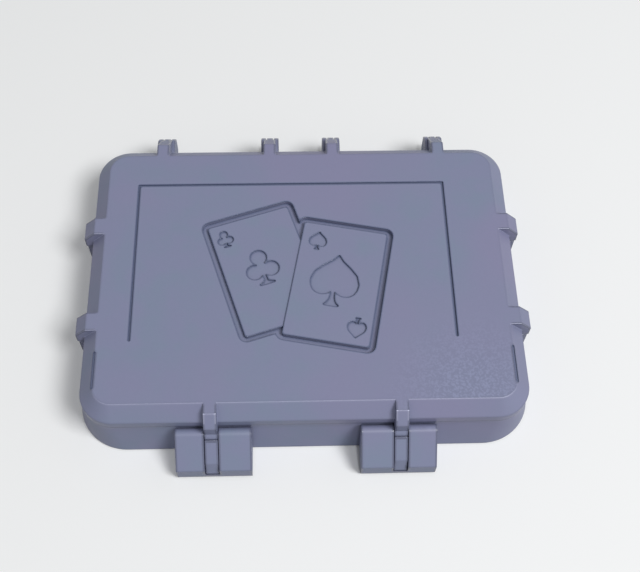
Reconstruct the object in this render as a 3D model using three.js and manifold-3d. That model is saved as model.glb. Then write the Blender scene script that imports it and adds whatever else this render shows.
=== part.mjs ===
// Hard case for two decks of playing cards laid side by side, with a hinged lid and two front latches.
// Millimetres. The origin is the centre of the flat underside, +X right, +Y to the hinges, +Z up.
import * as THREE from 'three';
import { mergeVertices } from 'three/addons/utils/BufferGeometryUtils.js';
import Module from 'manifold-3d';

const wasm = await Module();
wasm.setup();

// Cards and the bays that hold them
const cardWidth = 63;
const cardLength = 88;
const cardSidePlay = 0.6;
const cardEndPlay = 2.8;
const bayHeight = 16;
const bayCornerRadius = 2.5;
const bayRoofChamfer = 1.5;

// Divider between the decks
const dividerThickness = 1.2;
const dividerHeight = 10.5;
const dividerPlay = 0.25;
const fingerScoopRadius = 8;
const guideThickness = 1.2;
const guideDepth = 0.9;

// Shells
const wall = 3.2;
const floorThickness = 2.4;
const roofThickness = 2.6;
const baseCornerRadius = 10;
const footChamfer = 0.5;
const footSpread = 2.7;
const footCornerRadius = 15.5;
const baseBandHeight = 3.2;
const lidOverhang = 0.4;
const lidRimHeight = 3.1;
const lidChamfer = 4.4;
const partingGap = 0.3;
const lipThickness = 1.4;
const lipHeight = 2.2;
const lipCornerRadius = 5.5;
const lipClearance = 0.35;

// Ribs that stand on the shells
const ribWidth = 4;
const ribReach = 2.7;
const ribTopReach = 3.5;
const sideRibWidth = 6.2;
const sideRibSpacing = 34.4;

// Pins, cut from one size of rod
const pinRadius = 0.875;
const pinClearance = 0.075;

// Hinge stations along the back
const hingePairSpacing = 56.9;
const hingeLugSpacing = 35.7;
const hingeOffset = 4.8;
const hingeAxisHeight = 8;
const hingeLugReach = 4.85;
const hingeLugSlopeDrop = 9.6;
const knuckleWidth = 6;
const knuckleRadius = 6.2;
const knuckleGap = 0.3;
const tongueWidth = 2.2;
const tongueGap = 0.25;
const tongueRise = 1;
const tongueEyeRadius = 2.9;
const hingeFootRise = 5;

// Latches on the front
const latchSpacing = 56.8;
const latchWidth = 22.8;
const latchInset = 0.6;
const latchCheekThickness = 1.6;
const latchEyeRadius = 2;
const latchWallGap = 0.3;
const latchReach = 9.6;
const latchFaceFoot = 5.8;
const latchFoot = 1;
const latchThickness = 2.4;
const latchBridgeHeight = 1.7;
const latchSlotGap = 0.2;
const stripInset = 0.2;
const stripBendInset = 1.6;
const lugEyeRadius = 1.8;
const lugGap = 0.2;
const sweepGap = 0.25;
const hookWidth = 3;
const hookRadius = 8.8;
const hookTopRadius = 4.5;
const hookHeelOutset = 2;
const catchRadius = 7;
const catchOutset = 3.5;
const catchPinOverhang = 0.3;
const notchClearance = 0.13;

// Emblem and grooves in the lid's top
const emblemCardWidth = 27.1;
const emblemCardLength = 41.1;
const emblemCornerRadius = 0.7;
const emblemMoatWidth = 1.8;
const emblemMoatDepth = 1.6;
const emblemStep = 0.4;
const markDepth = 0.6;
const clubCard = { x: -11.4, y: 0.4, turn: 17.8 };
const spadeCard = { x: 10.2, y: -4.9, turn: -11 };
const grooveWidth = 0.6;
const grooveDepth = 0.55;
const frameGroove = { left: -53.3, right: 46.7, back: 32.6, front: -24.1 };
const edgeGroove = { back: -27.5, front: -39.5 };

// Modelling allowances
const overrun = 1;
const bury = 0.6;
const arcSteps = 8;
const smallArcSteps = 4;
const eyeSides = 28;
const pinSides = 16;
const samePointShare = 0.001;

// Worked out from the sizes above
const cavityWidth = 2 * (cardWidth + cardSidePlay) + dividerThickness;
const cavityDepth = cardLength + cardEndPlay;
const baseWidth = cavityWidth + 2 * wall;
const baseDepth = cavityDepth + 2 * wall;
const lidWidth = baseWidth + 2 * lidOverhang;
const lidDepth = baseDepth + 2 * lidOverhang;
const lidCornerRadius = baseCornerRadius + lidOverhang;
const caseHeight = floorThickness + bayHeight + roofThickness;
const roofUnderside = caseHeight - roofThickness;
const chamferFoot = caseHeight - lidChamfer;
const rimBottom = chamferFoot - lidRimHeight;
const baseTop = rimBottom - partingGap;
const lipTop = baseTop + lipHeight;
const boreRadius = pinRadius + pinClearance;

const hingeAxis = { y: lidDepth / 2 + hingeOffset, z: hingeAxisHeight };
const latchAxis = { y: -(baseDepth / 2 + latchWallGap + latchEyeRadius), z: rimBottom - latchEyeRadius };
const halfSlot = ribWidth / 2 + latchSlotGap;
const latchLipY = latchAxis.y - latchReach;
const latchFaceRun = Math.hypot(latchReach, latchAxis.z - latchFaceFoot);
const latchFaceAngle =
  Math.atan2(latchReach, latchAxis.z - latchFaceFoot) - Math.asin(latchEyeRadius / latchFaceRun);

// Angles in the side views, in degrees from +Y towards +Z
const straightUp = 90;
const straightDown = -90;
const fullTurn = 360;
const inDegrees = THREE.MathUtils.radToDeg;
const inRadians = THREE.MathUtils.degToRad;

// A solid for joining and cutting, from any closed geometry
function solid(geometry) {
  const bare = geometry.index ? geometry.toNonIndexed() : geometry.clone();
  bare.deleteAttribute('normal');
  bare.deleteAttribute('uv');
  const merged = mergeVertices(bare);
  return new wasm.Manifold(new wasm.Mesh({
    numProp: 3,
    vertProperties: new Float32Array(merged.attributes.position.array),
    triVerts: new Uint32Array(merged.index.array),
  }));
}

function join(solids) {
  return solids.reduce((sum, next) => sum.add(next));
}

function pointsOf(pairs) {
  return pairs.map(([a, b]) => new THREE.Vector2(a, b));
}

function extrusion(points, depth) {
  return new THREE.ExtrudeGeometry(new THREE.Shape(points), { depth, bevelEnabled: false });
}

// Outline in plan, drawn upwards from low to high
function extrudeZ(points, low, high) {
  return solid(extrusion(points, high - low).translate(0, 0, low));
}

// Side view in Y and Z, drawn to the right from low to high
function extrudeX(points, low, high) {
  const turn = new THREE.Matrix4().makeBasis(
    new THREE.Vector3(0, 1, 0), new THREE.Vector3(0, 0, 1), new THREE.Vector3(1, 0, 0));
  return solid(extrusion(points, high - low).applyMatrix4(turn).translate(low, 0, 0));
}

// Front view in X and Z, drawn backwards from low to high
function extrudeY(points, low, high) {
  const turn = new THREE.Matrix4().makeBasis(
    new THREE.Vector3(1, 0, 0), new THREE.Vector3(0, 0, 1), new THREE.Vector3(0, -1, 0));
  return solid(extrusion(points, high - low).applyMatrix4(turn).translate(0, high, 0));
}

function box(x0, x1, y0, y1, z0, z1) {
  const geometry = new THREE.BoxGeometry(x1 - x0, y1 - y0, z1 - z0);
  return solid(geometry.translate((x0 + x1) / 2, (y0 + y1) / 2, (z0 + z1) / 2));
}

// Round bar along X
function bar(radius, x0, x1, centre, sides = pinSides) {
  const geometry = new THREE.CylinderGeometry(radius, radius, x1 - x0, sides);
  return solid(geometry.rotateZ(Math.PI / 2).translate((x0 + x1) / 2, centre.y, centre.z));
}

function roundedRectangle(width, depth, radius, steps = arcSteps) {
  const shape = new THREE.Shape();
  const right = width / 2 - radius;
  const back = depth / 2 - radius;
  shape.absarc(right, -back, radius, -Math.PI / 2, 0);
  shape.absarc(right, back, radius, 0, Math.PI / 2);
  shape.absarc(-right, back, radius, Math.PI / 2, Math.PI);
  shape.absarc(-right, -back, radius, Math.PI, Math.PI * 3 / 2);
  const points = shape.getPoints(steps);
  return points.filter((p, i) => i === 0 || p.distanceTo(points[i - 1]) > radius * samePointShare);
}

// Straight-sided body through level outlines that have equally many points, lowest first
function loft(levels) {
  const count = levels[0].points.length;
  const corners = levels.flatMap(({ points, z }) => points.map((p) => [p.x, p.y, z]));
  const triangles = [];
  for (let level = 0; level + 1 < levels.length; level += 1) {
    for (let i = 0; i < count; i += 1) {
      const a = level * count + i;
      const b = level * count + (i + 1) % count;
      triangles.push([a, b, b + count], [a, b + count, a + count]);
    }
  }
  const caps = THREE.ShapeUtils.triangulateShape(levels[0].points, []);
  const top = (levels.length - 1) * count;
  caps.forEach(([a, b, c]) => triangles.push([c, b, a], [a + top, b + top, c + top]));
  const geometry = new THREE.BufferGeometry();
  const positions = triangles.flat().flatMap((i) => corners[i]);
  geometry.setAttribute('position', new THREE.Float32BufferAttribute(positions, 3));
  return solid(geometry);
}

function shellLevel(width, depth, radius, inset, z) {
  return { points: roundedRectangle(width - 2 * inset, depth - 2 * inset, radius - inset), z };
}

function polar(centre, radius, angle) {
  return [centre.y + radius * Math.cos(inRadians(angle)), centre.z + radius * Math.sin(inRadians(angle))];
}

function arc(centre, radius, from, to, steps = arcSteps) {
  const step = (to - from) / steps;
  return Array.from({ length: steps + 1 }, (unused, i) => polar(centre, radius, from + i * step));
}

// Slice of a ring about an axis along X
function ringSlice(centre, inner, outer, from, to, x0, x1) {
  return extrudeX(pointsOf([...arc(centre, inner, from, to), ...arc(centre, outer, to, from)]), x0, x1);
}

// A rib's outline on the lid: distance out from the middle of the case, and height
function lidRibOutline(halfSize) {
  const topEdge = halfSize - lidChamfer;
  return [
    [halfSize - bury, rimBottom],
    [halfSize - bury, chamferFoot - bury],
    [topEdge - bury, caseHeight],
    [topEdge + ribTopReach, caseHeight],
    [halfSize + ribReach, caseHeight - (halfSize + ribReach - topEdge - ribTopReach)],
    [halfSize + ribReach, rimBottom],
  ];
}

function baseRibOutline(halfSize) {
  return [
    [halfSize - bury, footChamfer],
    [halfSize + ribReach, footChamfer],
    [halfSize + ribReach, baseTop],
    [halfSize - bury, baseTop],
  ];
}

function sideRibs(outline) {
  const places = [-1, 1].flatMap((side) => [-1, 1].map((end) => [side, end * sideRibSpacing / 2]));
  return places.map(([side, y]) => extrudeY(
    pointsOf(outline.map(([out, z]) => [side * out, z])), y - sideRibWidth / 2, y + sideRibWidth / 2));
}

const sides = { left: -1, right: 1 };
// Each latch is wider on the side nearer to the middle of the case
const latchPlaces = Object.entries(sides).map(([name, side]) => {
  const x = side * latchSpacing / 2;
  const middle = x - side * latchInset;
  return { name, x, low: middle - latchWidth / 2, high: middle + latchWidth / 2 };
});
const hingePlaces = Object.entries(sides).flatMap(([name, side]) => [
  { name: `outer_${name}`, x: side * (hingePairSpacing + hingeLugSpacing) / 2 },
  { name: `inner_${name}`, x: side * (hingePairSpacing - hingeLugSpacing) / 2 },
]);

// Hinge stations: a lug on the lid, level with its top and sloping down at the back, and a rib on the base
const lugRadius = knuckleRadius + knuckleGap;
const lugOuterY = hingeAxis.y + hingeLugReach;
const slopeFoot = caseHeight - hingeLugSlopeDrop;
const slopeDistance = (lugOuterY - hingeAxis.y + slopeFoot - hingeAxis.z) / Math.SQRT2;

// Directions from the hinge axis in which a circle about it meets the slope, or a given Y
function slopeAngle(radius) {
  return straightUp / 2 + inDegrees(Math.acos(slopeDistance / radius));
}

function angleAtY(radius, y) {
  return inDegrees(Math.acos((y - hingeAxis.y) / radius));
}

// The lug stays outside a circle about the pin, and reaches the pin as a narrower tongue
function hingeLug(x) {
  const rimSide = lidDepth / 2 + partingGap;
  const outline = [
    [lidDepth / 2 - bury, rimBottom],
    [lidDepth / 2 - bury, chamferFoot - bury],
    [lidDepth / 2 - lidChamfer - bury, caseHeight],
    [lugOuterY - hingeLugSlopeDrop, caseHeight],
    ...arc(hingeAxis, lugRadius, slopeAngle(lugRadius), angleAtY(lugRadius, rimSide)),
    [rimSide, rimBottom],
  ];
  const root = lugRadius + bury;
  const heel = angleAtY(lugRadius, rimSide);
  const tongue = [
    [hingeAxis.y, hingeAxis.z],
    [lugOuterY, hingeAxis.z + tongueRise],
    [lugOuterY, slopeFoot],
    ...arc(hingeAxis, root, slopeAngle(root), angleAtY(root, rimSide)),
    polar(hingeAxis, lugRadius, heel),
    polar(hingeAxis, tongueEyeRadius, heel),
  ];
  const [low, high] = [x - tongueWidth / 2, x + tongueWidth / 2];
  return join([
    extrudeX(pointsOf(outline), x - ribWidth / 2, x + ribWidth / 2),
    extrudeX(pointsOf(tongue), low, high),
    bar(tongueEyeRadius, low, high, hingeAxis, eyeSides),
  ]);
}

// The rib's round head is split by a slot for the tongue
function hingeRib(x) {
  const wallY = baseDepth / 2;
  const outline = [
    [wallY - bury, footChamfer],
    [wallY + footSpread, footChamfer],
    [lugOuterY, footChamfer + hingeFootRise],
    [lugOuterY, slopeFoot],
    ...arc(hingeAxis, knuckleRadius, slopeAngle(knuckleRadius), angleAtY(knuckleRadius, wallY - bury)),
  ];
  const halfSlotWidth = tongueWidth / 2 + tongueGap;
  return extrudeX(pointsOf(outline), x - knuckleWidth / 2, x + knuckleWidth / 2)
    .subtract(bar(lugRadius, x - halfSlotWidth, x + halfSlotWidth, hingeAxis, 2 * eyeSides));
}

function hingeBores(margin) {
  return join(hingePlaces.map(({ x }) => bar(boreRadius, x - margin, x + margin, hingeAxis)));
}

// Latch faces in side view: a point out from the pivot, square to the face, and down along it
function alongFace(out, down) {
  return [
    latchAxis.y - out * Math.cos(latchFaceAngle) - down * Math.sin(latchFaceAngle),
    latchAxis.z + out * Math.sin(latchFaceAngle) - down * Math.cos(latchFaceAngle),
  ];
}

// Distance down a face that lies out from the pivot, to where it reaches a given Y
function faceRunToY(out, y) {
  return (latchAxis.y - out * Math.cos(latchFaceAngle) - y) / Math.sin(latchFaceAngle);
}

function faceRunToZ(out, z) {
  return (latchAxis.z + out * Math.sin(latchFaceAngle) - z) / Math.cos(latchFaceAngle);
}

const latchOutward = straightDown - inDegrees(latchFaceAngle);
const faceNormal = latchOutward - straightUp;
const bridgeTop = latchFoot + latchBridgeHeight;
const bridgeRadius = Math.hypot(latchReach, latchAxis.z - bridgeTop);
const ribSweepRadius = bridgeRadius - sweepGap;
const stripOut = latchEyeRadius - stripInset;
const stripLipY = latchLipY + stripInset;
const stripBendY = stripLipY + stripBendInset;
const catchAngle = straightDown - inDegrees(Math.asin(catchOutset / catchRadius));
const [catchY, catchZ] = polar(latchAxis, catchRadius, catchAngle);
const catchAxis = { y: catchY, z: catchZ };

// Lid's lug that hangs in the latch's slot and carries the pivot pin
function latchLug(x) {
  const innerY = -(baseDepth / 2 + lidOverhang);
  const outline = [
    [innerY, rimBottom + bury],
    [innerY, latchAxis.z],
    ...arc(latchAxis, lugEyeRadius, 0, faceNormal, 2 * arcSteps),
    alongFace(lugEyeRadius, faceRunToZ(lugEyeRadius, rimBottom)),
    [-(lidDepth / 2 + bury), rimBottom + bury],
  ];
  return extrudeX(pointsOf(outline), x - ribWidth / 2, x + ribWidth / 2);
}

// Base rib that fills the slot below the lug. It bends down short of the latch's lip, and its foot is
// cut round so that the latch's bridge clears it
function latchRib(x) {
  const wallY = -baseDepth / 2;
  const seat = lugEyeRadius + lugGap;
  const lipStart = inDegrees(Math.asin((latchAxis.y - stripLipY) / ribSweepRadius));
  const wallEnd = inDegrees(Math.asin((wallY + bury - latchAxis.y) / ribSweepRadius));
  const outline = [
    [wallY + bury, latchAxis.z - seat],
    ...arc(latchAxis, seat, straightDown, 2 * straightDown),
    alongFace(stripOut, faceRunToY(stripOut, latchAxis.y - seat)),
    alongFace(stripOut, faceRunToY(stripOut, stripBendY)),
    ...arc(latchAxis, ribSweepRadius, straightDown - lipStart, straightDown + wallEnd),
  ];
  const [low, high] = [x - ribWidth / 2, x + ribWidth / 2];
  const below = box(low - overrun, high + overrun, -lidDepth, 0, -caseHeight, footChamfer);
  return extrudeX(pointsOf(outline), low, high).subtract(below);
}

// Sloping plate with a round eye along its top, a cheek at each end, two hooks beside its slot and a
// bridge below it
function latch({ x, low, high }) {
  const eyeInside = latchEyeRadius - latchThickness;
  const innerLipY = latchLipY + latchThickness;
  const insideMeet = faceNormal + inDegrees(Math.acos(eyeInside / latchEyeRadius)) - fullTurn;
  const overTop = arc(latchAxis, latchEyeRadius, faceNormal, -fullTurn, 2 * arcSteps);
  const underneath = arc(latchAxis, latchEyeRadius, -fullTurn, insideMeet).slice(1);
  const lip = [[latchLipY, latchFoot], [latchLipY, latchFaceFoot]];
  const outline = [
    ...overTop,
    ...underneath,
    alongFace(eyeInside, faceRunToY(eyeInside, innerLipY)),
    [innerLipY, latchFoot],
    ...lip,
  ];
  const cheek = [...overTop, [-(baseDepth / 2 + footSpread + sweepGap), latchFoot], ...lip];
  const plate = extrudeX(pointsOf(outline), low, high)
    .add(extrudeX(pointsOf(cheek), low, low + latchCheekThickness))
    .add(extrudeX(pointsOf(cheek), high - latchCheekThickness, high));
  const hookInner = straightDown - inDegrees(Math.asin(hookHeelOutset / hookRadius));
  const hooks = ringSlice(latchAxis, hookTopRadius, hookRadius, hookInner, latchOutward,
    x - halfSlot - hookWidth, x + halfSlot + hookWidth);
  const notchRadius = pinRadius + notchClearance;
  const notch = ringSlice(
    latchAxis, catchRadius - notchRadius, catchRadius + notchRadius, catchAngle, 0, low, high)
    .add(bar(notchRadius, low, high, catchAxis));
  const slot = box(x - halfSlot, x + halfSlot, latchLipY - overrun, 0, 0, caseHeight)
    .intersect(bar(bridgeRadius, low, high, latchAxis, 2 * eyeSides));
  return plate.add(hooks.subtract(notch)).subtract(slot)
    .subtract(bar(boreRadius, low - overrun, high + overrun, latchAxis));
}

// Half outlines of the suits, as shares of their height, from the top down the right side
const spadeHalfShares = [
  [[0, 0.5], [0.07, 0.33], [0.42, 0.22], [0.42, -0.03]],
  [[0.42, -0.03], [0.42, -0.2], [0.33, -0.3], [0.21, -0.3]],
  [[0.21, -0.3], [0.13, -0.3], [0.07, -0.27], [0.035, -0.22]],
  [[0.035, -0.22], [0.035, -0.38], [0.07, -0.45], [0.13, -0.47]],
  [[0.13, -0.47], [0.13, -0.48], [0.13, -0.49], [0.13, -0.5]],
];
const clubStemShares = [[0.03, 0], [0.045, -0.4], [0.2, -0.46], [0.2, -0.5]];
const clubLobeShares = [[0, 0.287], [0.209, -0.095], [-0.209, -0.095], [0, 0.04]];
const clubLobeRadiusShares = [0.213, 0.213, 0.213, 0.12];
const curveSteps = 4;

// Marks on each emblem card: place and height as shares of the card, and half turns
const clubMarkShares = [
  { x: -0.048, y: 0.035, height: 0.309, halfTurns: 0 },
  { x: -0.343, y: 0.365, height: 0.15, halfTurns: 0 },
];
const spadeMarkShares = [
  { x: -0.016, y: 0.022, height: 0.45, halfTurns: 0 },
  { x: -0.299, y: 0.348, height: 0.165, halfTurns: 0 },
  { x: 0.323, y: -0.355, height: 0.172, halfTurns: 1 },
];

function mirrored(half, height) {
  const right = half.map(([x, y]) => [x * height, y * height]);
  const left = right.filter(([x]) => x > 0).map(([x, y]) => [-x, y]).reverse();
  return pointsOf([...right, ...left]);
}

function spade(height, low, high) {
  const half = spadeHalfShares.flatMap((corners, i) => {
    const curve = new THREE.CubicBezierCurve(...pointsOf(corners));
    const steps = i + 1 < spadeHalfShares.length ? curveSteps : 1;
    return curve.getPoints(steps).slice(i === 0 ? 0 : 1).map((p) => [p.x, p.y]);
  });
  return extrudeZ(mirrored(half, height), low, high);
}

function club(height, low, high) {
  const lobes = clubLobeShares.map(([x, y], i) => {
    const radius = clubLobeRadiusShares[i] * height;
    const disc = new THREE.CylinderGeometry(radius, radius, high - low, 2 * arcSteps);
    return solid(disc.rotateX(Math.PI / 2).translate(x * height, y * height, (low + high) / 2));
  });
  return join([...lobes, extrudeZ(mirrored(clubStemShares, height), low, high)]);
}

// Puts a solid drawn about the card's own centre where that card lies on the lid
function onCard(card, made) {
  return made.rotate([0, 0, card.turn]).translate([card.x, card.y, 0]);
}

function emblemCard(card, margin, low, high) {
  const width = emblemCardWidth + 2 * margin;
  const length = emblemCardLength + 2 * margin;
  const outline = roundedRectangle(width, length, emblemCornerRadius + margin, smallArcSteps);
  return onCard(card, extrudeZ(outline, low, high));
}

function marks(card, draw, shares, face) {
  return shares.map(({ x, y, height, halfTurns }) => {
    const mark = draw(height * emblemCardLength, face - markDepth, caseHeight + overrun);
    const placed = mark.rotate([0, 0, halfTurns * 2 * straightUp]);
    return onCard(card, placed.translate([x * emblemCardWidth, y * emblemCardLength, 0]));
  });
}

// Two fanned cards that stand in one moat; the club card lies a step lower than the spade card
function emblemCut() {
  const moatFloor = caseHeight - emblemMoatDepth;
  const above = caseHeight + overrun;
  const clubFace = caseHeight - emblemStep;
  const moats = [clubCard, spadeCard].map((card) => emblemCard(card, emblemMoatWidth, moatFloor, above));
  return join(moats)
    .subtract(emblemCard(clubCard, 0, moatFloor - overrun, clubFace))
    .subtract(emblemCard(spadeCard, 0, moatFloor - overrun, above + overrun))
    .add(join([
      ...marks(clubCard, club, clubMarkShares, clubFace),
      ...marks(spadeCard, spade, spadeMarkShares, caseHeight),
    ]));
}

// Fine straight grooves: a frame open to the front, and a short one on each side edge
function grooves() {
  const half = grooveWidth / 2;
  const low = caseHeight - grooveDepth;
  const high = caseHeight + overrun;
  const { left, right, back, front } = frameGroove;
  const edgeX = lidWidth / 2 - lidChamfer;
  const lines = [
    [left - half, right + half, back - half, back + half],
    [left - half, left + half, front, back],
    [right - half, right + half, front, back],
    ...Object.values(sides).map((side) => [
      side * edgeX - half, side * edgeX + half, edgeGroove.front, edgeGroove.back]),
  ];
  return join(lines.map(([x0, x1, y0, y1]) => box(x0, x1, y0, y1, low, high)));
}

function lidShell() {
  const outer = loft([
    shellLevel(lidWidth, lidDepth, lidCornerRadius, 0, rimBottom),
    shellLevel(lidWidth, lidDepth, lidCornerRadius, 0, chamferFoot),
    shellLevel(lidWidth, lidDepth, lidCornerRadius, lidChamfer, caseHeight),
  ]);
  const rimInset = wall - lipThickness - lipClearance;
  const rimRecess = extrudeZ(
    roundedRectangle(baseWidth - 2 * rimInset, baseDepth - 2 * rimInset, lipCornerRadius + lipClearance),
    rimBottom - overrun, lipTop + lipClearance);
  const headroom = loft([
    shellLevel(cavityWidth, cavityDepth, bayCornerRadius, 0, rimBottom),
    shellLevel(cavityWidth, cavityDepth, bayCornerRadius, 0, roofUnderside - bayRoofChamfer),
    shellLevel(cavityWidth, cavityDepth, bayCornerRadius, bayRoofChamfer, roofUnderside),
  ]);
  const frontOutline = lidRibOutline(lidDepth / 2).map(([out, z]) => [-out, z]);
  const fronts = latchPlaces.flatMap(({ x }) => [
    extrudeX(pointsOf(frontOutline), x - ribWidth / 2, x + ribWidth / 2),
    latchLug(x),
  ]);
  const lugs = hingePlaces.map(({ x }) => hingeLug(x));
  const ribs = sideRibs(lidRibOutline(lidWidth / 2));
  return join([outer.subtract(rimRecess).subtract(headroom), ...ribs, ...fronts, ...lugs])
    .subtract(emblemCut())
    .subtract(grooves())
    .subtract(hingeBores(knuckleWidth))
    .subtract(join(latchPlaces.map(({ x }) => bar(boreRadius, x - ribWidth, x + ribWidth, latchAxis))));
}

function dividerGuides() {
  const inner = dividerThickness / 2 + dividerPlay;
  const reach = cavityDepth / 2;
  return Object.values(sides).flatMap((side) => Object.values(sides).map((end) => {
    const [x0, x1] = [side * inner, side * (inner + guideThickness)].sort((a, b) => a - b);
    const [y0, y1] = [end * (reach - guideDepth), end * (reach + bury)].sort((a, b) => a - b);
    return box(x0, x1, y0, y1, floorThickness - bury, floorThickness + dividerHeight);
  }));
}

function baseShell() {
  const footWidth = baseWidth + 2 * footSpread;
  const footDepth = baseDepth + 2 * footSpread;
  const outer = loft([
    shellLevel(footWidth, footDepth, footCornerRadius, footChamfer, 0),
    shellLevel(footWidth, footDepth, footCornerRadius, 0, footChamfer),
    shellLevel(baseWidth, baseDepth, baseCornerRadius, 0, baseTop - baseBandHeight),
    shellLevel(baseWidth, baseDepth, baseCornerRadius, 0, baseTop),
  ]);
  const lipInset = wall - lipThickness;
  const lipOutline = roundedRectangle(baseWidth - 2 * lipInset, baseDepth - 2 * lipInset, lipCornerRadius);
  const lip = extrudeZ(lipOutline, baseTop - bury, lipTop);
  const cavityOutline = roundedRectangle(cavityWidth, cavityDepth, bayCornerRadius, smallArcSteps);
  const cavity = extrudeZ(cavityOutline, floorThickness, lipTop + overrun);
  const ribs = [
    ...sideRibs(baseRibOutline(baseWidth / 2)),
    ...latchPlaces.map(({ x }) => latchRib(x)),
    ...hingePlaces.map(({ x }) => hingeRib(x)),
  ];
  return join([outer.add(lip).subtract(cavity), ...ribs, ...dividerGuides()])
    .subtract(hingeBores(knuckleWidth))
    .subtract(join(latchPlaces.map(({ x }) => bar(boreRadius, x - ribWidth, x + ribWidth, catchAxis))));
}

// Plate that stands in the guides, with a scoop for the fingers
function deckDivider() {
  const end = cavityDepth / 2 - dividerPlay;
  const top = floorThickness + dividerHeight;
  const outline = [
    [-end, floorThickness], [end, floorThickness], [end, top],
    ...arc({ y: 0, z: top }, fingerScoopRadius, 0, 2 * straightDown, 2 * arcSteps),
    [-end, top],
  ];
  return extrudeX(pointsOf(outline), -dividerThickness / 2, dividerThickness / 2);
}

const moulded = { color: 0x7d83a0, roughness: 0.55, metalness: 0 };
const rod = { color: 0x686e8a, roughness: 0.5, metalness: 0 };

function piece(name, made, finish) {
  const { vertProperties, triVerts } = made.getMesh();
  const geometry = new THREE.BufferGeometry();
  geometry.setAttribute('position', new THREE.Float32BufferAttribute(vertProperties, 3));
  geometry.setIndex([...triVerts]);
  const mesh = new THREE.Mesh(geometry, new THREE.MeshStandardMaterial(finish));
  mesh.name = name;
  return mesh;
}

const cardCase = new THREE.Group();
cardCase.add(
  piece('base_shell', baseShell(), moulded),
  piece('lid_shell', lidShell(), moulded),
  piece('deck_divider', deckDivider(), moulded),
);
function pin(name, low, high, axis) {
  return piece(name, bar(pinRadius, low, high, axis), rod);
}

hingePlaces.forEach(({ name, x }) => {
  cardCase.add(pin(`hinge_pin_${name}`, x - knuckleWidth / 2, x + knuckleWidth / 2, hingeAxis));
});
const catchReach = halfSlot + hookWidth + catchPinOverhang;
latchPlaces.forEach((place) => {
  cardCase.add(
    piece(`latch_${place.name}`, latch(place), moulded),
    pin(`latch_pivot_pin_${place.name}`, place.low, place.high, latchAxis),
    pin(`catch_pin_${place.name}`, place.x - catchReach, place.x + catchReach, catchAxis),
  );
});

export default cardCase;
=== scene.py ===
"""Looks of a hinged hard case for two decks of playing cards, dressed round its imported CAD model.

Blender 4.5, metres, +Z up. The photographed side, with the latches, faces -Y.
"""

import math

import bmesh
import bpy
from mathutils import Matrix, Vector


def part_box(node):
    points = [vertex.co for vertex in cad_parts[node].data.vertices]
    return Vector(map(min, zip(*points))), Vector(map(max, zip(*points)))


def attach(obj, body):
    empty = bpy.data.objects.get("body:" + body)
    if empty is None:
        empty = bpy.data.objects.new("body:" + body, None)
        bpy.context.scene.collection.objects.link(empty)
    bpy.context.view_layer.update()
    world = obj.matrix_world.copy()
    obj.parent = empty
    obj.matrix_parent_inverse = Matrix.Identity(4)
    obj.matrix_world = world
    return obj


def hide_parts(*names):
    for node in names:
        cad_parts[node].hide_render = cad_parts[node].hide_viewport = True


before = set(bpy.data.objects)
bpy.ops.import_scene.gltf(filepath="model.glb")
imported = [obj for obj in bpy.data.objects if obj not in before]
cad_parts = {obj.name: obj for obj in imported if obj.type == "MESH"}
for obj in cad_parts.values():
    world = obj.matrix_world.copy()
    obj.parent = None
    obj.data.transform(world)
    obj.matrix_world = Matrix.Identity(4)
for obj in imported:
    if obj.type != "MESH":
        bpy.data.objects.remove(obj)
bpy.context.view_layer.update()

MM = 0.001

# Camera, fitted to the photograph's corners
CAMERA_PLACE = Vector((-3.804, -159.063, 300.918)) * MM
CAMERA_YAW = math.radians(3.33531)
CAMERA_PITCH = math.radians(61.29506)
CAMERA_ROLL = math.radians(2.09871)
CAMERA_LENS = 57.365
CAMERA_SENSOR = 36.0
CAMERA_NEAR, CAMERA_FAR = 0.01, 20.0

# Floor and backdrop: colours that are seen, and the light that they give
FLOOR_HALF_WIDTH = 1.5
FLOOR_COLOUR = (0.92, 0.93, 0.935)
FLOOR_BOUNCE = (0.30, 0.30, 0.31)
SKY_SEEN = (0.84, 0.85, 0.86)
SKY_LIGHT = 0.25
WHITE = (1.0, 1.0, 1.0)

# Lamps: direction from the case in degrees, side of the square in metres, and watts
LAMP_DISTANCE = 2.0
LAMPS = {
    "key": {"azimuth": 56, "elevation": 55, "side": 0.76, "watts": 26.0},
    "front": {"azimuth": 14, "elevation": 68, "side": 0.12, "watts": 6.2},
}

# Plastics: linear colour with its cooler and warmer patches, roughness, and strength of the grain
ROD_COLOUR = (0.150, 0.163, 0.250)
PLASTICS = {
    "case_plastic": {
        "colour": (0.208, 0.226, 0.348), "cool": (0.196, 0.232, 0.338), "warm": (0.222, 0.222, 0.352),
        "roughness": 0.48, "grain": 0.35},
    "rod_plastic": {
        "colour": ROD_COLOUR, "cool": ROD_COLOUR, "warm": ROD_COLOUR,
        "roughness": 0.34, "grain": 0.12},
}
PLASTIC_IOR = 1.5
PLASTIC_SPECULAR = 0.5

# Noises of the plastic: features per metre, detail and roughness
NOISES = {
    "blotch": (95.0, 2.0, 0.5),
    "drift": (28.0, 1.0, 0.4),
    "fleck": (1500.0, 2.0, 0.6),
    "speckle": (1600.0, 1.0, 0.5),
    "peel": (1300.0, 3.0, 0.62),
    "wave": (260.0, 1.0, 0.5),
}

# Mottling: where in its noise each tint comes in
COOL_RANGE = (0.42, 0.66)
WARM_RANGE = (0.45, 0.70)
FLECK_RANGE = (0.35, 0.75)
FLECK_STRENGTH = 0.10
FLECK_SHADE = 0.8

# Painted glints: pale and dark specks painted on the lid's top round its front right corner, in place of the
# glints of its grain
SPECKLE_RANGE = (0.42, 0.64)
SPECKLE_DARK = 0.93
SPECKLE_PALE = 1.15
SPECKLE_CENTRE = (50.0 * MM, -43.0 * MM)
SPECKLE_INNER = 6.0 * MM
SPECKLE_OUTER = 28.0 * MM
LEVEL_RANGE = (0.90, 0.99)
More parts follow.
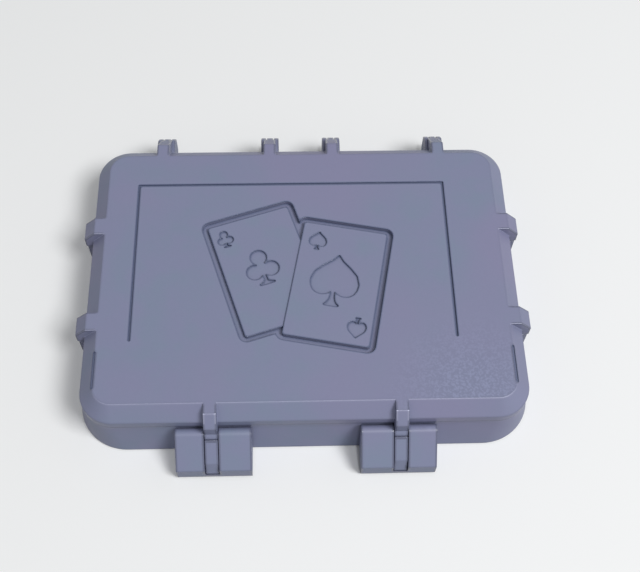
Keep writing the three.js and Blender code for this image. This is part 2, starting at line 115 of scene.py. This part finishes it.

# Occlusion: edges are found from inside the solid, creases and cuts from outside; with it, painted shade
# darkens creases and draws dark lines in the carving's cuts and along its edges
OCCLUSION_SAMPLES = 8
EDGE_REACH = 0.8 * MM
EDGE_RANGE = (0.75, 0.97)
CREASE_REACH = 2.0 * MM
CREASE_RANGE = (0.25, 0.92)
CREASE_SHADE_SHARE = 0.80
LINE_REACH = 0.8 * MM
LINE_CUT_RANGE = (0.50, 0.90)
LINE_EDGE_RANGE = (0.60, 0.84)
LINE_SHADE_COLOUR = (0.090, 0.112, 0.200)

# Outer edges: painted shade makes them darker than the faces, but not at the carving, and a painted highlight
# makes them pale along the front of the lid's top
EDGE_GAIN = 0.62
CARVED_EDGE_GAIN = 1.04
EDGE_ROUGHNESS = 0.24
FRONT_EDGE_COLOUR = (0.62, 0.64, 0.86)
FRONT_FACING_Y = (-0.42, -0.12)
FRONT_FACING_Z = (0.66, 0.80)

# Relief and gloss of the surface
ROUND_RADIUS = 0.30 * MM
ROUND_SAMPLES = 6
WAVE_STRENGTH = 0.10
WAVE_HEIGHT = 0.06 * MM
PEEL_HEIGHT = 0.05 * MM
GLOSS_RANGE = (0.3, 0.7)
GLOSSIER, DULLER = 0.04, 0.05

# Softening of the moulded edges; those of the emblem and the grooves stay crisp
SHARP_ANGLE = math.radians(17)
CARVED_ANGLE = math.radians(40)
FLAT_ANGLE = math.radians(0.6)
BEVEL_SEGMENTS = 2
BEVEL_PROFILE = 0.5
SHELL_EDGES = {"width": 0.22 * MM, "weld": 0.05 * MM}
LATCH_EDGES = {"width": 0.10 * MM, "weld": 0.1 * MM}
FACE_WEIGHT = 100

# The carving on the lid's top: the emblem with its frame of grooves, and one short groove near each side edge
CARVED_DEPTH = 1.75 * MM
CARVED_HALF_WIDTH = 60.0 * MM
CARVED_HALF_DEPTH = 42.0 * MM
SIDE_GROOVE_PLACE = 63.4 * MM
SIDE_GROOVE_REACH = 0.5 * MM
SIDE_GROOVE_FRONT, SIDE_GROOVE_BACK = -39.7 * MM, -27.3 * MM
LID_TOP_RANGE = (18.6 * MM, 18.8 * MM)


def new_material(name):
    material = bpy.data.materials.new(name)
    material.use_nodes = True
    tree = material.node_tree
    tree.nodes.clear()
    return material, tree


def add_node(tree, kind, inputs, **settings):
    """A new shader node: each input that is given a socket is linked to it, and the others get a value."""
    node = tree.nodes.new(kind)
    for key, value in settings.items():
        setattr(node, key, value)
    for key, value in inputs.items():
        if isinstance(value, bpy.types.NodeSocket):
            tree.links.new(value, node.inputs[key])
        else:
            node.inputs[key].default_value = value
    return node


def rgba(colour, gain=1.0):
    return (*(gain * c for c in colour), 1.0)


def mix(tree, factor, a, b):
    """Mixes two colours; Mix has its colour sockets at 6, 7 and, going out, 2."""
    return add_node(tree, "ShaderNodeMix", {0: factor, 6: a, 7: b}, data_type="RGBA").outputs[2]


def calculate(tree, operation, *values):
    return add_node(tree, "ShaderNodeMath", dict(enumerate(values)), operation=operation).outputs[0]


def ramp(tree, value, source, target=(0.0, 1.0)):
    """Carries the source range over to the target range, and holds the ends."""
    return add_node(tree, "ShaderNodeMapRange", {
        "Value": value, "From Min": source[0], "From Max": source[1],
        "To Min": target[0], "To Max": target[1]}, clamp=True).outputs["Result"]


def fall(tree, value, source):
    return ramp(tree, value, source, (1.0, 0.0))


def noise(tree, place, pattern):
    scale, detail, roughness = NOISES[pattern]
    return add_node(tree, "ShaderNodeTexNoise", {
        "Vector": place, "Scale": scale, "Detail": detail, "Roughness": roughness}).outputs["Fac"]


def occlusion(tree, reach, inside=False):
    return add_node(tree, "ShaderNodeAmbientOcclusion", {"Distance": reach},
                    samples=OCCLUSION_SAMPLES, inside=inside).outputs["AO"]


def split(tree, vector):
    return add_node(tree, "ShaderNodeSeparateXYZ", {"Vector": vector}).outputs


def mottled(tree, place, blotch, colour, cool, warm):
    cooled = mix(tree, ramp(tree, blotch, COOL_RANGE), rgba(colour), rgba(cool))
    tinted = mix(tree, ramp(tree, noise(tree, place, "drift"), WARM_RANGE), cooled, rgba(warm))
    flecks = ramp(tree, noise(tree, place, "fleck"), FLECK_RANGE, (0.0, FLECK_STRENGTH))
    return mix(tree, flecks, tinted, rgba(colour, FLECK_SHADE))


def painted_glints(tree, place, facing, colour, plain):
    """The plain colour, with painted glints: pale and dark specks round the lid's front right corner."""
    across, along, _ = split(tree, place)
    squares = []
    for value, centre in zip((across, along), SPECKLE_CENTRE):
        side = calculate(tree, "SUBTRACT", value, centre)
        squares.append(calculate(tree, "MULTIPLY", side, side))
    away = calculate(tree, "SQRT", calculate(tree, "ADD", *squares))
    glint_patch = calculate(tree, "MULTIPLY", fall(tree, away, (SPECKLE_INNER, SPECKLE_OUTER)),
                        ramp(tree, facing["Z"], LEVEL_RANGE))
    specks = mix(tree, ramp(tree, noise(tree, place, "speckle"), SPECKLE_RANGE),
                 rgba(colour, SPECKLE_DARK), rgba(colour, SPECKLE_PALE))
    return mix(tree, glint_patch, plain, specks)


def lid_areas(tree, place):
    """Two masks: the highest part of the lid, and the part of it that is carved."""
    across, along, height = split(tree, place)
    lid_top = ramp(tree, height, LID_TOP_RANGE)
    beside = calculate(tree, "ABSOLUTE", across)
    at_emblem = calculate(tree, "MULTIPLY", calculate(tree, "LESS_THAN", beside, CARVED_HALF_WIDTH),
                          calculate(tree, "COMPARE", along, 0.0, CARVED_HALF_DEPTH))
    middle = (SIDE_GROOVE_FRONT + SIDE_GROOVE_BACK) / 2
    reach = (SIDE_GROOVE_BACK - SIDE_GROOVE_FRONT) / 2
    at_groove = calculate(tree, "MULTIPLY",
                          calculate(tree, "COMPARE", beside, SIDE_GROOVE_PLACE, SIDE_GROOVE_REACH),
                          calculate(tree, "COMPARE", along, middle, reach))
    carved = calculate(tree, "MULTIPLY", calculate(tree, "MAXIMUM", at_emblem, at_groove), lid_top)
    return lid_top, carved


def edge_shade_and_highlight(tree, facing, lid_top, carved, colour):
    # Painted shade darkens the outer edges, and a painted highlight lightens those along the front of the
    # lid's top
    edge = mix(tree, carved, rgba(colour, EDGE_GAIN), rgba(colour, CARVED_EDGE_GAIN))
    forwards = calculate(tree, "MULTIPLY", fall(tree, facing["Y"], FRONT_FACING_Y),
                         ramp(tree, facing["Z"], FRONT_FACING_Z))
    return mix(tree, calculate(tree, "MULTIPLY", forwards, lid_top), edge, rgba(FRONT_EDGE_COLOUR))


def relief(tree, place, grain):
    """Normal of the surface, with rounded edges, broad waves and orange peel."""
    layer = add_node(tree, "ShaderNodeBevel", {"Radius": ROUND_RADIUS}, samples=ROUND_SAMPLES)
    for pattern, strength, height in (("wave", WAVE_STRENGTH, WAVE_HEIGHT), ("peel", grain, PEEL_HEIGHT)):
        layer = add_node(tree, "ShaderNodeBump", {
            "Strength": strength, "Distance": height, "Height": noise(tree, place, pattern),
            "Normal": layer.outputs["Normal"]})
    return layer.outputs["Normal"]


def moulded_plastic(name, colour, cool, warm, roughness, grain):
    """Satin moulded plastic: mottled and grained, with painted glints on the lid's top, painted shade as
    lines at the carving and in darker creases and edges, and a painted highlight along the front of the lid's
    top.
    """
    material, tree = new_material(name)
    place = add_node(tree, "ShaderNodeTexCoord", {}).outputs["Object"]
    facing = split(tree, add_node(tree, "ShaderNodeTexCoord", {}).outputs["Normal"])
    blotch = noise(tree, place, "blotch")
    lid_top, carved = lid_areas(tree, place)

    plain = mottled(tree, place, blotch, colour, cool, warm)
    face = painted_glints(tree, place, facing, colour, plain)
    # The edge mask lowers the roughness of the worn edges and carries their painted shade and painted
    # highlight
    rim = occlusion(tree, EDGE_REACH, inside=True)
    edge_wear_and_shade = fall(tree, rim, EDGE_RANGE)
    edge_shaded = mix(tree, edge_wear_and_shade, face, edge_shade_and_highlight(tree, facing, lid_top, carved, colour))
    # Painted shade in the creases
    open_air = ramp(tree, occlusion(tree, CREASE_REACH), CREASE_RANGE)
    crease_shaded = mix(tree, open_air, rgba(colour, CREASE_SHADE_SHARE), edge_shaded)
    # Painted shade: dark lines in the carving's cuts and along its edges
    line = calculate(tree, "MAXIMUM", fall(tree, occlusion(tree, LINE_REACH), LINE_CUT_RANGE),
                     fall(tree, rim, LINE_EDGE_RANGE))
    carving_shaded = mix(tree, calculate(tree, "MULTIPLY", carved, line), crease_shaded, rgba(LINE_SHADE_COLOUR))

    satin = ramp(tree, blotch, GLOSS_RANGE, (roughness - GLOSSIER, roughness + DULLER))
    shader = add_node(tree, "ShaderNodeBsdfPrincipled", {
        "Base Color": carving_shaded, "Roughness": ramp(tree, edge_wear_and_shade, (0.0, 1.0), (satin, EDGE_ROUGHNESS)),
        "Normal": relief(tree, place, grain), "IOR": PLASTIC_IOR, "Specular IOR Level": PLASTIC_SPECULAR})
    add_node(tree, "ShaderNodeOutputMaterial", {"Surface": shader.outputs["BSDF"]})
    return material


def seen_directly(tree):
    """1 for rays that show a surface to the camera, as they are, mirrored or through glass."""
    path = add_node(tree, "ShaderNodeLightPath", {}).outputs
    seen = calculate(tree, "MAXIMUM", path["Is Camera Ray"], path["Is Glossy Ray"])
    return calculate(tree, "MAXIMUM", seen, path["Is Transmission Ray"])


def plain_surface(name, colour):
    material, tree = new_material(name)
    paint = mix(tree, seen_directly(tree), rgba(FLOOR_BOUNCE), rgba(colour))
    shader = add_node(tree, "ShaderNodeBsdfDiffuse", {"Color": paint})
    add_node(tree, "ShaderNodeOutputMaterial", {"Surface": shader.outputs["BSDF"]})
    return material


def add_object(name, data):
    thing = bpy.data.objects.new(name, data)
    bpy.context.scene.collection.objects.link(thing)
    return thing


def mesh_object(name, mesh, material):
    """Turns a bmesh into an object of one material, and frees it."""
    data = bpy.data.meshes.new(name)
    mesh.to_mesh(data)
    mesh.free()
    data.materials.append(material)
    return add_object(name, data)


def is_carved(edge, lid_height):
    """Whether an edge of the lid belongs to the emblem or to a groove."""
    middle = (edge.verts[0].co + edge.verts[1].co) / 2
    at_emblem = abs(middle.x) < CARVED_HALF_WIDTH and abs(middle.y) < CARVED_HALF_DEPTH
    at_groove = (abs(abs(middle.x) - SIDE_GROOVE_PLACE) < SIDE_GROOVE_REACH
                 and SIDE_GROOVE_FRONT < middle.y < SIDE_GROOVE_BACK)
    return middle.z >= lid_height - CARVED_DEPTH and (at_emblem or at_groove)


def softened(node, body, finish, width, weld):
    """A copy of a CAD node with its triangles merged into flat faces and its sharp edges rounded."""
    mesh = bmesh.new()
    mesh.from_mesh(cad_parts[node].data)
    bmesh.ops.remove_doubles(mesh, verts=mesh.verts, dist=weld)
    bmesh.ops.dissolve_limit(
        mesh, angle_limit=FLAT_ANGLE, verts=mesh.verts, edges=mesh.edges, delimit=set())
    bmesh.ops.recalc_face_normals(mesh, faces=mesh.faces)

    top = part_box(node)[1].z
    bends = {edge: edge.calc_face_angle(0) for edge in mesh.edges if len(edge.link_faces) == 2}
    carved = {edge for edge in bends if node == "lid_shell" and is_carved(edge, top)}
    for edge, bend in bends.items():
        edge.smooth = not (edge in carved and bend > CARVED_ANGLE)
    sharp = [edge for edge, bend in bends.items() if bend > SHARP_ANGLE and edge not in carved]
    bmesh.ops.bevel(
        mesh, geom=sharp, offset=width, offset_type="OFFSET", segments=BEVEL_SEGMENTS,
        profile=BEVEL_PROFILE, affect="EDGES", clamp_overlap=False, harden_normals=False)
    for face in mesh.faces:
        face.smooth = True

    piece = mesh_object("moulded_" + node, mesh, materials[finish])
    weighted = piece.modifiers.new("flat_faces", "WEIGHTED_NORMAL")
    weighted.mode = "FACE_AREA"
    weighted.weight = FACE_WEIGHT
    weighted.keep_sharp = True
    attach(piece, body)
    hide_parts(node)


def add_floor():
    mesh = bmesh.new()
    bmesh.ops.create_grid(mesh, x_segments=1, y_segments=1, size=FLOOR_HALF_WIDTH)
    mesh_object("floor", mesh, plain_surface("floor_paint", FLOOR_COLOUR))


def add_lamp(name, azimuth, elevation, side, watts):
    """Azimuth 0 is in front of the case and 90 at its right."""
    turn, lift = math.radians(azimuth), math.radians(elevation)
    direction = Vector((
        math.sin(turn) * math.cos(lift), -math.cos(turn) * math.cos(lift), math.sin(lift)))
    data = bpy.data.lights.new(name, "AREA")
    data.shape = "SQUARE"
    data.size = side
    data.energy = watts
    lamp = add_object(name, data)
    lamp.location = direction * LAMP_DISTANCE
    lamp.rotation_euler = direction.to_track_quat("Z", "Y").to_euler()


def add_world():
    world = bpy.data.worlds.new("studio")
    bpy.context.scene.world = world
    world.use_nodes = True
    tree = world.node_tree
    tree.nodes.clear()
    light = add_node(tree, "ShaderNodeBackground", {"Color": rgba(WHITE), "Strength": SKY_LIGHT})
    backdrop = add_node(tree, "ShaderNodeBackground", {"Color": rgba(SKY_SEEN), "Strength": 1.0})
    both = add_node(tree, "ShaderNodeMixShader", {
        0: seen_directly(tree), 1: light.outputs[0], 2: backdrop.outputs[0]})
    add_node(tree, "ShaderNodeOutputWorld", {"Surface": both.outputs[0]})


def add_camera():
    sin_yaw, cos_yaw = math.sin(CAMERA_YAW), math.cos(CAMERA_YAW)
    sin_pitch, cos_pitch = math.sin(CAMERA_PITCH), math.cos(CAMERA_PITCH)
    sin_roll, cos_roll = math.sin(CAMERA_ROLL), math.cos(CAMERA_ROLL)
    forward = Vector((sin_yaw * cos_pitch, cos_yaw * cos_pitch, -sin_pitch))
    right = Vector((cos_yaw, -sin_yaw, 0.0))
    up = right.cross(forward)
    axes = Matrix((right * cos_roll + up * sin_roll, up * cos_roll - right * sin_roll, -forward))
    data = bpy.data.cameras.new("camera")
    data.sensor_width = CAMERA_SENSOR
    data.lens = CAMERA_LENS
    data.clip_start, data.clip_end = CAMERA_NEAR, CAMERA_FAR
    camera = add_object("camera", data)
    camera.matrix_world = Matrix.Translation(CAMERA_PLACE) @ axes.transposed().to_4x4()
    bpy.context.scene.camera = camera


materials = {name: moulded_plastic(name, **finish) for name, finish in PLASTICS.items()}

for node, body, edges in (
    ("base_shell", "base", SHELL_EDGES),
    ("deck_divider", "base", SHELL_EDGES),
    ("lid_shell", "lid", SHELL_EDGES),
    ("latch_left", "latch_left_body", LATCH_EDGES),
    ("latch_right", "latch_right_body", LATCH_EDGES),
):
    softened(node, body, "case_plastic", **edges)

for name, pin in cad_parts.items():
    if "pin" in name.split("_"):
        pin.data.materials.clear()
        pin.data.materials.append(materials["rod_plastic"])

add_floor()
for name, settings in LAMPS.items():
    add_lamp(name, **settings)
add_world()
add_camera()
bpy.context.scene.view_settings.view_transform = "Standard"
